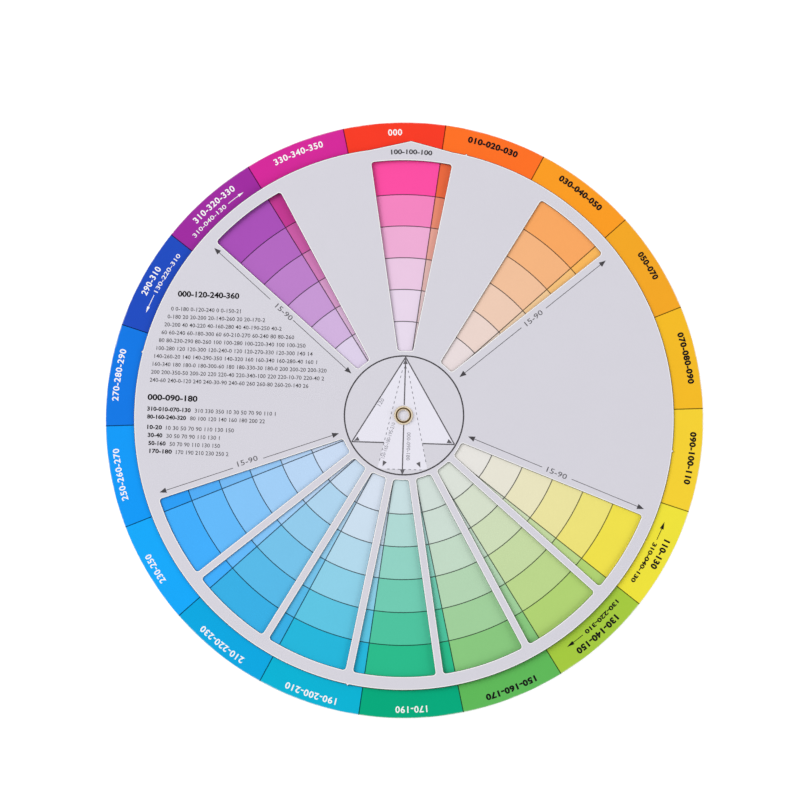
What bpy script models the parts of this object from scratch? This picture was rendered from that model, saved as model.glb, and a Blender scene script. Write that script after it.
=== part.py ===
"""Colour mixing wheel: a printed card disc between two die-cut card dials, all pinned by one eyelet.

The wheel lies flat with its front up. +X is right and +Y is up in the printed face, and +Z points
out of it. The origin is on the eyelet's axis, level with the lowest point of its rolled rear end.
Units are metres. Angles of the outlines are in degrees, clockwise from +Y, as on a clock face.
"""

import math

import bmesh
import bpy

# Base disc, printed on both faces
BASE_DIAMETER = 0.235
BASE_CARD = 0.0006
NAME_RING_WIDTH = 0.0112  # printed ring of the base that the dials leave uncovered

# Dials, cut by one die
DIAL_CARD = 0.00045
DIAL_RIM_WIDTH = 0.0048  # card left outside the windows
HUB_DIAMETER = 0.0514  # card left inside the windows
STRUT_WIDTH = 0.0038  # card left between neighbouring windows
WINDOW_CORNER = 0.0012
POINTER_REACH = 0.0028  # how far the pointer's tip stands out of the dial's edge
POINTER_WIDTH = 0.033
NUB_REACH = 0.00045  # torn nubs that held the dial in its sheet
NUB_WIDTH = 0.0009
NUB_TOP_SHARE = 0.4
NUB_ANGLES = (12.0, 96.0, 190.0, 282.0)

# Hue sectors of the print, and the ones that a dial opens, counted clockwise from its pointer
SECTORS = 18
OPEN_SECTORS = (0, 2, 6, 7, 8, 9, 10, 11, 12, 16)

# Eyelet and its washer
EYELET_BORE = 0.0042
EYELET_WALL = 0.0003
FLANGE_WIDTH = 0.00165  # rolled front flange, from the bore outwards
REAR_ROLL_WIDTH = 0.0012
WASHER_WIDTH = 0.0017
WASHER_THICKNESS = 0.00025

# Clearances
HOLE_CLEARANCE = 0.0003  # round the eyelet's barrel
SEAT_GAP = 0.0002  # between pieces that lie on each other

# How the dials are turned from the print's top, clockwise seen from the front
FRONT_DIAL_TURN = 1.7
REAR_DIAL_TURN = -1.7

# Facets
EDGE_STEPS = 180
WINDOW_OUTER_STEPS = 16
WINDOW_INNER_STEPS = 5
CORNER_STEPS = 4
BORE_STEPS = 48
ROLL_STEPS = 8

# Sizes that follow from the ones above
PITCH = 360 / SECTORS
BASE_RADIUS = BASE_DIAMETER / 2
DIAL_RADIUS = BASE_RADIUS - NAME_RING_WIDTH
WINDOW_OUTER_RADIUS = DIAL_RADIUS - DIAL_RIM_WIDTH
WINDOW_INNER_RADIUS = HUB_DIAMETER / 2
BORE_RADIUS = EYELET_BORE / 2
BARREL_RADIUS = BORE_RADIUS + EYELET_WALL
CARD_HOLE_RADIUS = BARREL_RADIUS + HOLE_CLEARANCE
REAR_ROLL_HEIGHT = REAR_ROLL_WIDTH / 2

# Heights, stacked up from the eyelet's lowest point
WASHER_Z = REAR_ROLL_HEIGHT + SEAT_GAP
REAR_DIAL_Z = WASHER_Z + WASHER_THICKNESS + SEAT_GAP
BASE_Z = REAR_DIAL_Z + DIAL_CARD + SEAT_GAP
FRONT_DIAL_Z = BASE_Z + BASE_CARD + SEAT_GAP
FLANGE_Z = FRONT_DIAL_Z + DIAL_CARD + SEAT_GAP

# Colours, linear: red, green, blue
WHITE_CARD = (0.85, 0.85, 0.84)
GREY_PRINT = (0.665, 0.651, 0.723)
BRASS = (0.72, 0.52, 0.22)


def arc(radius, start, end, steps, centre=(0.0, 0.0)):
    """Points of an arc, both ends included; the angles run clockwise from +Y."""
    turns = [math.radians(start + (end - start) * step / steps) for step in range(steps + 1)]
    return [(centre[0] + radius * math.sin(t), centre[1] + radius * math.cos(t)) for t in turns]


def circle(radius, steps):
    """Points of a full circle."""
    return arc(radius, 0, 360, steps)[:-1]


def turned(points, angle):
    """The points turned clockwise about the eyelet's axis."""
    sine, cosine = math.sin(math.radians(angle)), math.cos(math.radians(angle))
    return [(x * cosine + y * sine, y * cosine - x * sine) for x, y in points]


def corner(radius, bend):
    """One round corner of a window, on the clockwise side of a sector that is centred on +Y.

    It joins the arc of the given radius to the side, which runs parallel to the sector's edge and
    half a strut inside it. bend is +1 at the window's outer arc and -1 at its inner arc.
    """
    edge = PITCH / 2
    inset = STRUT_WIDTH / 2 + WINDOW_CORNER
    reach = radius - bend * WINDOW_CORNER
    across = edge - math.degrees(math.asin(inset / reach))
    centre = arc(reach, across, across, 1)[0]
    start = across if bend > 0 else edge + 90
    end = edge + 90 if bend > 0 else across + 180
    return arc(WINDOW_CORNER, start, end, CORNER_STEPS, centre), across


def window_outline(sector):
    """One window: two arcs about the eyelet and two sides parallel to the sector's edges."""
    outer_corner, outer_reach = corner(WINDOW_OUTER_RADIUS, 1)
    inner_corner, inner_reach = corner(WINDOW_INNER_RADIUS, -1)
    side = outer_corner + inner_corner
    other_side = [(-x, y) for x, y in reversed(side)]
    outer = arc(WINDOW_OUTER_RADIUS, -outer_reach, outer_reach, WINDOW_OUTER_STEPS)[1:-1]
    inner = arc(WINDOW_INNER_RADIUS, inner_reach, -inner_reach, WINDOW_INNER_STEPS)[1:-1]
    return turned(side + inner + other_side + outer, sector * PITCH)


def nub(angle):
    """A small torn nub on the dial's edge."""
    foot = math.degrees(NUB_WIDTH / 2 / DIAL_RADIUS)
    top = foot * NUB_TOP_SHARE
    rim = arc(DIAL_RADIUS, angle - foot, angle + foot, 1)
    peak = arc(DIAL_RADIUS + NUB_REACH, angle - top, angle + top, 1)
    return [rim[0], *peak, rim[1]]


def dial_edge():
    """The dial's outer edge: a straight-sided pointer at +Y, then the circle with its nubs."""
    shoulder = math.degrees(math.asin(POINTER_WIDTH / 2 / DIAL_RADIUS))
    foot = math.degrees(NUB_WIDTH / 2 / DIAL_RADIUS)
    points = [(0.0, DIAL_RADIUS + POINTER_REACH)]
    start = shoulder
    for angle in NUB_ANGLES:
        steps = max(1, round(EDGE_STEPS * (angle - foot - start) / 360))
        points += arc(DIAL_RADIUS, start, angle - foot, steps)[:-1] + nub(angle)
        start = angle + foot
    steps = round(EDGE_STEPS * (360 - shoulder - start) / 360)
    return points + arc(DIAL_RADIUS, start, 360 - shoulder, steps)[1:]


def material(name, colour, roughness, metallic=0.0):
    """A plain surface of one colour."""
    made = bpy.data.materials.new(name)
    made.use_nodes = True
    made.diffuse_color = (*colour, 1.0)
    shader = made.node_tree.nodes["Principled BSDF"]
    shader.inputs["Base Color"].default_value = (*colour, 1.0)
    shader.inputs["Roughness"].default_value = roughness
    shader.inputs["Metallic"].default_value = metallic
    return made


def card(name, outlines, thickness, bottom, look, parent):
    """A flat sheet of card: a 2D curve whose first outline is its edge and whose others are holes."""
    curve = bpy.data.curves.new(name, "CURVE")
    curve.dimensions = "2D"
    curve.fill_mode = "BOTH"
    curve.extrude = thickness / 2
    for points in outlines:
        spline = curve.splines.new("POLY")
        spline.points.add(len(points) - 1)
        for slot, (x, y) in zip(spline.points, points):
            slot.co = (x, y, 0.0, 1.0)
        spline.use_cyclic_u = True
    curve.materials.append(look)
    sheet = bpy.data.objects.new(name, curve)
    sheet.location.z = bottom + thickness / 2
    sheet.parent = parent
    return sheet


def turned_piece(name, profile, look, parent):
    """A piece turned about the eyelet's axis from a closed profile of (radius, height) points."""
    shape = bmesh.new()
    rim = [shape.verts.new((radius, 0.0, height)) for radius, height in profile]
    for here, following in zip(rim, rim[1:] + rim[:1]):
        shape.edges.new((here, following))
    mesh = bpy.data.meshes.new(name)
    shape.to_mesh(mesh)
    shape.free()
    mesh.materials.append(look)
    piece = bpy.data.objects.new(name, mesh)
    screw = piece.modifiers.new("turned", "SCREW")
    screw.steps = screw.render_steps = BORE_STEPS
    screw.use_merge_vertices = True
    screw.merge_threshold = EYELET_WALL / 100
    screw.use_smooth_shade = True
    piece.parent = parent
    return piece


def roll(width, level, start, end):
    """Half of a rolled rim's section: an arch that springs from the bore's wall at the given level."""
    middle = BORE_RADIUS + width / 2
    outer = arc(width / 2, start, end, ROLL_STEPS, (middle, level))
    inner = arc(width / 2 - EYELET_WALL, start, end, ROLL_STEPS, (middle, level))
    return outer, inner


def eyelet_profile():
    """Section of the eyelet: one sheet wall that rolls outwards over the cards at both ends."""
    flange_outside, flange_inside = roll(FLANGE_WIDTH, FLANGE_Z, 90, -90)
    rear_outside, rear_inside = roll(REAR_ROLL_WIDTH, REAR_ROLL_HEIGHT, -90, -270)
    outside = flange_outside + rear_outside
    inside = flange_inside + rear_inside
    return inside + list(reversed(outside))


def washer_profile():
    """Section of the washer: a flat ring with its outer edges broken."""
    inner = BARREL_RADIUS + SEAT_GAP
    outer = inner + WASHER_WIDTH
    break_size = WASHER_THICKNESS / 3
    top = WASHER_Z + WASHER_THICKNESS
    return [
        (inner, top),
        (outer - break_size, top),
        (outer, top - break_size),
        (outer, WASHER_Z + break_size),
        (outer - break_size, WASHER_Z),
        (inner, WASHER_Z),
    ]


def pivot(name, turn, collection):
    """An empty on the eyelet's axis that carries a dial and sets how far it is turned."""
    empty = bpy.data.objects.new(name, None)
    empty.rotation_euler.z = math.radians(-turn)
    collection.objects.link(empty)
    return empty


def clear_scene():
    """Takes every object and collection out of the scene."""
    for thing in list(bpy.data.objects):
        bpy.data.objects.remove(thing, do_unlink=True)
    for group in list(bpy.data.collections):
        bpy.data.collections.remove(group)


def build():
    """Makes the wheel's five pieces and puts them in one collection."""
    clear_scene()
    wheel = bpy.data.collections.new("colour_mixing_wheel")
    bpy.context.scene.collection.children.link(wheel)

    front_pivot = pivot("front_pivot", FRONT_DIAL_TURN, wheel)
    rear_pivot = pivot("rear_pivot", REAR_DIAL_TURN, wheel)
    base_look = material("printed_base_card", WHITE_CARD, 0.45)
    front_look = material("printed_front_card", GREY_PRINT, 0.45)
    rear_look = material("printed_rear_card", GREY_PRINT, 0.45)
    eyelet_look = material("eyelet_brass", BRASS, 0.25, 1.0)
    washer_look = material("washer_brass", BRASS, 0.35, 1.0)

    hole = circle(CARD_HOLE_RADIUS, BORE_STEPS)
    windows = [window_outline(sector) for sector in OPEN_SECTORS]
    dial = [dial_edge(), hole, *windows]
    flipped_dial = [[(-x, y) for x, y in points] for points in dial]
    base = [circle(BASE_RADIUS, EDGE_STEPS), hole]
    pieces = [
        card("base_disc", base, BASE_CARD, BASE_Z, base_look, None),
        card("front_dial", dial, DIAL_CARD, FRONT_DIAL_Z, front_look, front_pivot),
        card("rear_dial", flipped_dial, DIAL_CARD, REAR_DIAL_Z, rear_look, rear_pivot),
        turned_piece("eyelet", eyelet_profile(), eyelet_look, None),
        turned_piece("washer", washer_profile(), washer_look, None),
    ]
    for piece in pieces:
        wheel.objects.link(piece)


build()
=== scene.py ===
"""A colour mixing wheel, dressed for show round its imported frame.

Two die-cut dials turn on a printed disc, and one brass eyelet holds the three cards together.
Sizes are in millimetres, and angles in degrees clockwise from +Y as on a clock face, unless a name
or docstring says otherwise. Each print is made in the frame of its own card face, with +Z out of
the print and +Y towards the top of it, and is then laid on the front or the back of the card.
"""

import logging
import math
from collections.abc import Callable, Iterator, Sequence
from dataclasses import dataclass, field, replace
from enum import Enum
from itertools import count, pairwise

import bmesh
import bpy
from mathutils import Matrix, Vector


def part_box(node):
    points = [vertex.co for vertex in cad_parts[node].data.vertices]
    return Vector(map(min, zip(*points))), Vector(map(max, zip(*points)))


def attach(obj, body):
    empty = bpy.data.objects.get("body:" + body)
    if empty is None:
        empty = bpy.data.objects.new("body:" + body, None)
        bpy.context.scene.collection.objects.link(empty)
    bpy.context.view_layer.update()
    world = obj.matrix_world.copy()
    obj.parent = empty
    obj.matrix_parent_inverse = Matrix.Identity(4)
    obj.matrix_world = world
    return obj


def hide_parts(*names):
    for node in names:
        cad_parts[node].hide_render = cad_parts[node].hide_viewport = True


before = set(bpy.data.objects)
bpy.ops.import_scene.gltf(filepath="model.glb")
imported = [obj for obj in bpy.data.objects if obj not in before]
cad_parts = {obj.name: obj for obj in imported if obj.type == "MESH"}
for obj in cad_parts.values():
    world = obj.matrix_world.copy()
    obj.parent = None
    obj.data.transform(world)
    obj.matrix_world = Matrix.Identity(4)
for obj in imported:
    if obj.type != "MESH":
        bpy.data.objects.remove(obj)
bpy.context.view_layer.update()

LOG = logging.getLogger("colour_wheel")
MM = 0.001
SECTORS = 18
PITCH = 360 / SECTORS
WELD = 0.0005  # vertices nearer than this are one
CREASE = 35.0  # edges that turn less than this are shaded smooth
RIM_TURN = 60.0  # edges that turn more than this are the rims of a card
CAP_SHARE = 0.7  # how tall a numeral is, as a share of its type size
FIGURE_ROOM = 0.5  # how wide it is
SIGN_ROOMS = {"-": 0.323, " ": 0.278}
TYPE_WELD = 1e-5  # vertices of a numeral nearer than this are one, at a type size of one
MIX_COLOURS = (6, 7)  # a Mix node's sockets for its two colours
MIX_RESULT = 2

Point = tuple[float, float]
Pair = tuple[float, float]
Colour = tuple[float, float, float]
Shape = bmesh.types.BMesh
Placing = Callable[[Vector], Vector]


class Body(Enum):
    """The bodies of the frame that pieces ride on."""

    BASE = "base"
    FRONT_DIAL = "front_dial"
    REAR_DIAL = "rear_dial"


class Slot(Enum):
    """The record's material slots."""

    BASE = "base_card"
    FRONT_DIAL = "front_dial_card"
    REAR_DIAL = "rear_dial_card"
    EYELET = "eyelet_brass"
    WASHER = "washer_brass"


class Side(Enum):
    """Which way a printed face looks."""

    FRONT = "front"
    REAR = "rear"


class Film(Enum):
    """How far each print stands out of its card, so that no two lie in one plane."""

    FIELD = 0.01
    HUES = 0.012
    ARROWS = 0.014
    DASHES = 0.018
    LINES = 0.02
    CIRCLE = 0.023
    BANDS = 0.026
    RIM = 0.03


class Weight(Enum):
    """Weights of the numerals, as the growth of their strokes at a type size of one."""

    REGULAR = 0.004
    MEDIUM = 0.018
    BOLD = 0.03


# Shader graphs


class Graph:
    """The node graph of one material, or of the world."""

    def __init__(self, owner: bpy.types.Material | bpy.types.World) -> None:
        """Empties the owner's node graph.

        Args:
            owner: what the graph belongs to.
        """
        owner.use_nodes = True
        self.tree = owner.node_tree
        self.tree.nodes.clear()

    def node(self, kind: str, inputs: dict | None = None, **settings: object) -> bpy.types.Node:
        """Adds a node.

        Args:
            kind: the node's type.
            inputs: sockets by name or number, each with a value or a Value to link.
            settings: the node's own settings, which are set first.

        Returns:
            The node.
        """
        made = self.tree.nodes.new(kind)
        for name, setting in settings.items():
            setattr(made, name, setting)
        for key, given in (inputs or {}).items():
            if isinstance(given, Value):
                self.tree.links.new(given.socket, made.inputs[key])
            else:
                made.inputs[key].default_value = given
        return made

    def value(
        self, kind: str, inputs: dict | None = None, output: str | int = 0, **settings: object
    ) -> "Value":
        """Adds a node and gives one of its outputs, ready for an expression."""
        return Value(self, self.node(kind, inputs, **settings).outputs[output])

    def mix(self, factor: "Value | float", first: "Value | Colour", second: "Value | Colour") -> "Value":
        """Mixes two linear colours, where the factor is the second one's share."""
        ends = (colour if isinstance(colour, Value) else (*colour, 1.0) for colour in (first, second))
        inputs = {"Factor": factor} | dict(zip(MIX_COLOURS, ends))
        return self.value("ShaderNodeMix", inputs, MIX_RESULT, data_type="RGBA")

    def scale(self, colour: "Value | Colour", by: "Value") -> "Value":
        """Makes a colour lighter or darker by a number."""
        return self.value("ShaderNodeVectorMath", {0: colour, "Scale": by}, operation="SCALE")

    def noise(self, place: "Value", size: float, detail: float) -> "Value":
        """Adds noise from about -0.5 to 0.5 in patches of a size, with this many finer layers."""
        inputs = {"Vector": place, "Scale": 1 / (size * MM), "Detail": detail}
        return self.value("ShaderNodeTexNoise", inputs, "Fac", noise_dimensions="3D") - 0.5

    def place(self, stretch: Sequence[float] = (1.0, 1.0, 1.0)) -> "Value":
        """Gives the piece's own coordinates in metres, stretched along its axes."""
        coordinates = self.value("ShaderNodeTexCoord", output="Object")
        return self.value("ShaderNodeMapping", {"Vector": coordinates, "Scale": stretch})

    def rays(self) -> tuple["Value", "Value"]:
        """Gives whether a ray comes from the camera, and whether it is mirrored."""
        kinds = ("Is Camera Ray", "Is Glossy Ray")
        return tuple(self.value("ShaderNodeLightPath", output=kind) for kind in kinds)

    def surface(self, height: "Value", relief: float, inputs: dict) -> None:
        """Closes a material with its shader over fine relief.

        Args:
            height: how high the relief stands, as a share.
            relief: how high a share of one is.
            inputs: the shader's other sockets.
        """
        stand = {"Strength": 1.0, "Distance": relief * MM, "Height": height}
        normal = self.value("ShaderNodeBump", stand)
        self.close(self.node("ShaderNodeBsdfPrincipled", inputs | {"Normal": normal}))

    def close(self, surface: bpy.types.Node, kind: str = "ShaderNodeOutputMaterial") -> None:
        """Links the last shader to the output."""
        self.tree.links.new(surface.outputs[0], self.node(kind).inputs["Surface"])


@dataclass(frozen=True)
class Value:
    """A shader socket that takes part in Python expressions."""

    graph: Graph
    socket: bpy.types.NodeSocket

    def _math(self, operation: str, *terms: "Value | float", clamp: bool = False) -> "Value":
        """Adds a Math node on the given terms."""
        inputs = dict(enumerate(terms))
        return self.graph.value("ShaderNodeMath", inputs, operation=operation, use_clamp=clamp)

    def __add__(self, other: "Value | float") -> "Value":
        """Adds a number."""
        return self._math("ADD", self, other)

    __radd__ = __add__

    def __sub__(self, other: "Value | float") -> "Value":
        """Takes a number away."""
        return self._math("SUBTRACT", self, other)

    def __rsub__(self, other: float) -> "Value":
        """Takes this from a number."""
        return self._math("SUBTRACT", other, self)

    def __mul__(self, other: "Value | float") -> "Value":
        """Multiplies by a number."""
        return self._math("MULTIPLY", self, other)

    __rmul__ = __mul__

    def __truediv__(self, other: "Value | float") -> "Value":
        """Divides by a number."""
        return self._math("DIVIDE", self, other)

    def clamped(self) -> "Value":
        """Holds this between 0 and 1."""
        return self._math("ADD", self, 0.0, clamp=True)

    def rise(self, start: float, end: float) -> "Value":
        """Goes from 0 where this is at start to 1 where it is at end."""
        return ((self - start) / (end - start)).clamped()

    def plus(self, shares: Sequence[float], parts: Sequence["Value"]) -> "Value":
        """Adds shares of several patterns."""
        return sum((share * part for share, part in zip(shares, parts)), self)


# Finishes


def linear(display: Sequence[float]) -> Colour:
    """Turns a colour as it is seen, from 0 to 255, into a linear one."""
    shares = (value / 255 for value in display)
    return tuple(s / 12.92 if s <= 0.04045 else ((s + 0.055) / 1.055) ** 2.4 for s in shares)


@dataclass(frozen=True)
class CardPrint:
    """Ink on coated card: faint mottle, the card's long fibres under a satin varnish, a worn rim."""

    ink: Colour | None = None  # linear; without one, the piece's "ink" attribute
    roughness: float = 0.46
    gloss: float = 0.1
    mottle: float = 0.035  # how far patches change the ink's tone
    texture: Pair = (0.03, 0.015)  # how far fibres and grain do
    uneven: Pair = (0.12, 0.1)  # how far patches and fibres change its roughness
    patch: float = 9.0
    fibre: float = 0.45
    fibre_stretch: tuple[float, ...] = (1.0, 0.3, 1.0)
    grain: float = 0.16
    grain_height: float = 0.4  # as a share of the fibres' height
    relief: float = 0.006
    rim: float | None = None  # the radius at which handling has worn the ink
    rim_wander: Pair = (0.7, 0.5)  # how far patches and fibres shift it
    worn_width: float = 0.35
    worn_share: float = 0.55
    worn_ink: Colour = linear((236, 234, 230))

    def dress(self, graph: Graph) -> None:
        """Builds the shader.

        Args:
            graph: the material's empty graph.
        """
        place = graph.place()
        patches = graph.noise(place, self.patch, 3.0)
        fibres = graph.noise(graph.place(self.fibre_stretch), self.fibre, 3.0)
        grain = graph.noise(place, self.grain, 1.0)
        colour = self.ink
        if colour is None:
            colour = graph.value("ShaderNodeAttribute", output="Color", attribute_name="ink")
        colour = graph.scale(colour, (1 + self.mottle * patches).plus(self.texture, (fibres, grain)))
        if self.rim:
            level = {0: place, 1: (1.0, 1.0, 0.0)}
            flat = graph.value("ShaderNodeVectorMath", level, operation="MULTIPLY")
            radius = graph.value("ShaderNodeVectorMath", {0: flat}, "Value", operation="LENGTH")
            reach = (radius / MM).plus(self.rim_wander, (patches, fibres))
            worn = self.worn_share * reach.rise(self.rim, self.rim + self.worn_width)
            colour = graph.mix(worn, colour, self.worn_ink)
        by_patch, by_fibre = self.uneven
        roughness = self.roughness + by_patch * patches + by_fibre * fibres
        inputs = {"Base Color": colour, "Roughness": roughness, "Specular IOR Level": self.gloss}
        graph.surface(fibres + self.grain_height * grain, self.relief, inputs)


@dataclass(frozen=True)
class CutBoard:
    """Bare board where a die has cut it: pressed plies along the edge and a rough fibre."""

    colour: Colour
    roughness: float = 0.78
    gloss: float = 0.2
    ply: float = 0.11
    ply_stretch: tuple[float, ...] = (0.02, 0.02, 1.0)
    ply_tone: float = 0.1
    fibre: float = 0.22
    fibre_tone: float = 0.06
    uneven: float = 0.15  # how far the fibres change its roughness
    relief: float = 0.02

    def dress(self, graph: Graph) -> None:
        """Builds the shader.

        Args:
            graph: the material's empty graph.
        """
        plies = graph.noise(graph.place(self.ply_stretch), self.ply, 1.0)
        fibres = graph.noise(graph.place(), self.fibre, 4.0)
        colour = graph.scale(self.colour, 1 + self.ply_tone * plies + self.fibre_tone * fibres)
        roughness = self.roughness + self.uneven * fibres
        inputs = {"Base Color": colour, "Roughness": roughness, "Specular IOR Level": self.gloss}
        graph.surface(fibres + plies, self.relief, inputs)


@dataclass(frozen=True)
class PressedBrass:
    """Thin pressed brass: streaks along the draw and a little tarnish."""

    colour: Colour
    roughness: float
    cloud: float = 1.3
    cloud_roughness: float = 0.1
    streak: float = 0.12
    streak_stretch: tuple[float, ...] = (1.0, 1.0, 4.0)
    streak_roughness: float = 0.08
    tarnish: float = 0.3
    cover: Pair = (0.35, 1.4)  # how much of it is tarnished, and how patchily
    dull: float = 0.8  # the share of its light that tarnished brass keeps
    relief: float = 0.001

    def dress(self, graph: Graph) -> None:
        """Builds the shader.

        Args:
            graph: the material's empty graph.
        """
        cloud = graph.noise(graph.place(), self.cloud, 3.0)
        streak = graph.noise(graph.place(self.streak_stretch), self.streak, 2.0)
        tarnish = self.tarnish * (self.cover[0] + self.cover[1] * cloud).clamped()
        colour = graph.mix(tarnish, self.colour, tuple(self.dull * part for part in self.colour))
        roughness = self.roughness + self.cloud_roughness * cloud + self.streak_roughness * streak
        inputs = {"Base Color": colour, "Metallic": 1.0, "Roughness": roughness}
        graph.surface(streak + cloud, self.relief, inputs)


class Look(Enum):
    """Every finish of the wheel."""

    CUT_BOARD = CutBoard(linear((247, 246, 246)))
    # the grey board core, made darker so that the cut sides seen from above give a line of painted shade
    # along every cut
    GREY_CORE_AND_PAINTED_SHADE = CutBoard(linear((84, 83, 88)))
    HUE_INKS = CardPrint(rim=117.1)
    COOL_GREY_PRINT = CardPrint(linear((214, 212, 221)), mottle=0.02)
    PALE_FIELD_PRINT = CardPrint(linear((232, 230, 241)), mottle=0.02)
    OVERPRINTED_BLACK = CardPrint(roughness=0.42, mottle=0.1)
    BLACK_INK = CardPrint(linear((26, 24, 27)), roughness=0.4)
    DARK_GREY_INK = CardPrint(linear((74, 72, 76)), roughness=0.42)
    SOFT_GREY_INK = CardPrint(linear((100, 98, 103)), roughness=0.42)
    FAINT_GREY_INK = CardPrint(linear((142, 141, 150)), roughness=0.44)
    KNOCKED_OUT_WHITE = CardPrint(linear((248, 247, 248)))
    BRIGHT_BRASS = PressedBrass((0.87, 0.75, 0.54), 0.15)
    SATIN_BRASS = PressedBrass((0.8, 0.62, 0.33), 0.3)

    def material(self) -> bpy.types.Material:
        """Gives the material, which is made when it is first asked for.

        Returns:
            The material.
        """
        made = bpy.data.materials.get(self.name.lower())
        if made is None:
            made = bpy.data.materials.new(self.name.lower())
            self.value.dress(Graph(made))
        return made


# Outlines and meshes


def arc(radius: float, start: float, end: float, steps: int, centre: Point = (0.0, 0.0)) -> list[Point]:
    """Gives the points of an arc of this many chords, both ends included."""
    turns = [math.radians(start + (end - start) * step / steps) for step in range(steps + 1)]
    return [(centre[0] + radius * math.sin(t), centre[1] + radius * math.cos(t)) for t in turns]


def turned(points: Sequence[Point], angle: float) -> list[Point]:
    """Turns points clockwise about the eyelet's axis."""
    sine, cosine = math.sin(math.radians(angle)), math.cos(math.radians(angle))
    return [(x * cosine + y * sine, y * cosine - x * sine) for x, y in points]


def spun(profile: Sequence[Point], steps: int, closed: bool = True) -> Shape:
    """Turns a profile all the way round the eyelet's axis.

    Args:
        profile: its (radius, height) points.
        steps: how many steps the turn has.
        closed: whether the last point joins the first.

    Returns:
        The turned shape, in the profile's unit.
    """
    shape = bmesh.new()
    chain = [shape.verts.new((0.0, radius, height)) for radius, height in profile]
    pairs = pairwise(chain + chain[:1] if closed else chain)
    edges = [shape.edges.new(pair) for pair in pairs]
    bmesh.ops.spin(
        shape, geom=chain + edges, cent=(0, 0, 0), axis=(0, 0, -1), dvec=(0, 0, 0),
        angle=math.tau, steps=steps, use_merge=True,
    )
    return shape


def thicken(shape: Shape, thickness: float) -> None:
    """Gives a flat sheet its thickness, towards +Z.

    Args:
        shape: the sheet, which becomes a closed solid.
        thickness: how thick it gets.
    """
    grown = bmesh.ops.extrude_face_region(shape, geom=list(shape.faces))["geom"]
    top = [part for part in grown if isinstance(part, bmesh.types.BMVert)]
    bmesh.ops.translate(shape, verts=top, vec=(0, 0, thickness))


def break_rims(shape: Shape, size: float) -> None:
    """Rounds the edges where a card's flat faces meet its cut sides.

    Args:
        shape: the card.
        size: how far the rounding reaches.
    """
    shape.normal_update()
    rims = [
        edge for edge in shape.edges
        if len(edge.link_faces) == 2
        and abs(edge.verts[0].co.z - edge.verts[1].co.z) < WELD
        and edge.calc_face_angle() > math.radians(RIM_TURN)
    ]
    bmesh.ops.bevel(
        shape, geom=rims, offset=size, offset_type="OFFSET", segments=2, profile=0.5,
        affect="EDGES", material=-1, clamp_overlap=True,
    )


def meshed(name: str, shape: Shape) -> bpy.types.Mesh:
    """Makes a mesh of a shape, which is used up."""
    mesh = bpy.data.meshes.new(name)
    shape.to_mesh(mesh)
    shape.free()
    return mesh


def placed(name: str, data: bpy.types.ID) -> bpy.types.Object:
    """Puts an object in the scene."""
    made = bpy.data.objects.new(name, data)
    bpy.context.scene.collection.objects.link(made)
    return made


def paint(shape: Shape, ink_at: Callable[[float, float], Colour]) -> None:
    """Writes each face's ink into its corners.

    Args:
        shape: the print, in its face's frame.
        ink_at: gives the linear colour at an angle and a radius.
    """
    ink = shape.loops.layers.float_color.new("ink")
    for patch in shape.faces:
        middle = patch.calc_center_median()
        angle = math.degrees(math.atan2(middle.x, middle.y)) % 360
        colour = (*ink_at(angle, middle.xy.length), 1.0)
        for corner in patch.loops:
            corner[ink] = colour


@dataclass(frozen=True)
class Bow:
    """The bow of a card dial, which lifts two opposite stretches of its edge off the disc."""

    lift: float = 1.0  # at the dial's edge
    crests: Pair = (-20.0, 160.0)  # the ways from the eyelet in which it lifts most
    spread: float = 62.0  # how far to each side of a crest it lifts at all
    reach: float = 106.3
    flat: float = 24.0  # how far the eyelet and the card's stiffness hold it flat
    law: float = 0.9  # how the lift grows with the way from the flat part
    strip: float = 4.0

    def cut(self, shape: Shape) -> None:
        """Cuts a card into squares that are small enough to bend.

        Args:
            shape: the card, in its face's frame.
        """
        half = math.ceil(self.reach / self.strip)
        for across in (Vector((1.0, 0.0, 0.0)), Vector((0.0, 1.0, 0.0))):
            for step in range(-half, half + 1):
                geometry = [*shape.verts, *shape.edges, *shape.faces]
                place = across * step * self.strip
                bmesh.ops.bisect_plane(shape, geom=geometry, dist=WELD, plane_co=place, plane_no=across)

    def bend(self, shape: Shape) -> None:
        """Lifts a shape's points off the disc.

        Args:
            shape: the card or its print, in its face's frame.
        """
        for vert in shape.verts:
            way = math.degrees(math.atan2(vert.co.x, vert.co.y))
            off = min(abs((way - crest + 180) % 360 - 180) for crest in self.crests)
            swell = math.cos(math.radians(90 * min(1.0, off / self.spread))) ** 2
            share = max(0.0, vert.co.xy.length - self.flat) / (self.reach - self.flat)
            vert.co.z += self.lift * swell * share**self.law


@dataclass(frozen=True)
class Seat:
    """Where a piece rides, a slot of the record that it carries but nothing reads, and the node that it
    stands for.
    """

    body: Body
    slot: Slot
    node: str | None = None

    def take(self, name: str, shape: Shape, *looks: Look) -> None:
        """Makes a finished piece of a shape and seats it.

        Args:
            name: the piece's name.
            shape: its shape in the row frame in metres, which is used up.
            looks: its finishes, in the order of its faces' numbers.
        """
        bmesh.ops.recalc_face_normals(shape, faces=list(shape.faces))
        mesh = meshed(name, shape)
        for look in looks:
            mesh.materials.append(look.material())
        mesh.shade_smooth()
        mesh.set_sharp_from_angle(angle=math.radians(CREASE))
        piece = placed(name, mesh)
        if self.node:
            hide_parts(self.node)
        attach(piece, self.body.value)
        LOG.info("%s: %d faces on %s", name, len(mesh.polygons), self.body.value)


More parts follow.
